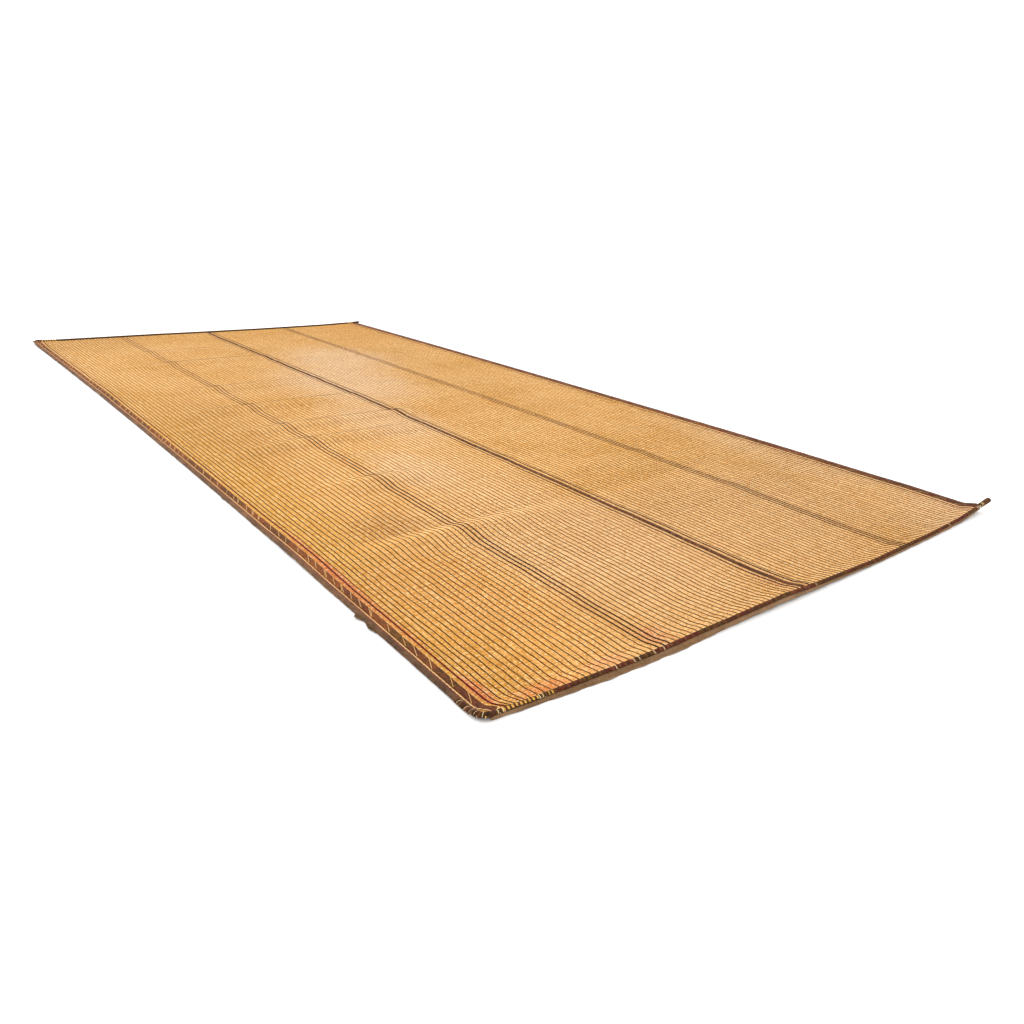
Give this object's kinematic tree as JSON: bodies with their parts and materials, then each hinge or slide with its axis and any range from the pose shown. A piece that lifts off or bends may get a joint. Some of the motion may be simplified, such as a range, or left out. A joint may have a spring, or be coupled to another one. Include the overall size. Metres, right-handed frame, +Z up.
{
  "type": "reed floor mat",
  "caption": "Long rectangular floor mat of fine reeds across the width, stitched through with dark leather thongs and bound in leather on all four edges, lying flat with soft ripples.",
  "frame": {"origin": "middle of the mat's footprint, on the ground it lies on", "axes": "+Z up, Y along the length with the bulged near end towards -Y, X across the width along the reeds"},
  "size_m": [2.0326, 4.357, 0.0343],
  "materials": {
    "reed": "dry golden reed stalks, satin",
    "edge_leather": "worn grey-olive leather, matt",
    "strip_leather": "brown leather, worn",
    "cord": "undyed cream lacing",
    "thong": "dark brown leather thong",
    "red_thong": "dark red dyed leather thong",
    "end_leather": "dark maroon leather, tightly wound",
    "hem": "tan leather, dusty"
  },
  "bodies": {
    "root": {"reed_field": "reed", "side_binding_left": "edge_leather", "side_binding_right": "edge_leather", "side_cord_left": "cord", "side_cord_right": "cord", "side_strip_left": "strip_leather", "side_strip_right": "strip_leather", "red_thong_left": "red_thong", "red_thong_right": "red_thong", "quarter_thong_left_1": "thong", "quarter_thong_left_2": "thong", "quarter_thong_left_3": "thong", "quarter_thong_right_1": "thong", "quarter_thong_right_2": "thong", "quarter_thong_right_3": "thong", "centre_thong_left": "thong", "centre_thong_right": "thong", "centre_strip": "strip_leather", "end_binding_near": "end_leather", "end_binding_far": "end_leather", "end_core_near": "end_leather", "end_core_far": "end_leather", "end_hem_near": "hem"}
  },
  "joints": []
}
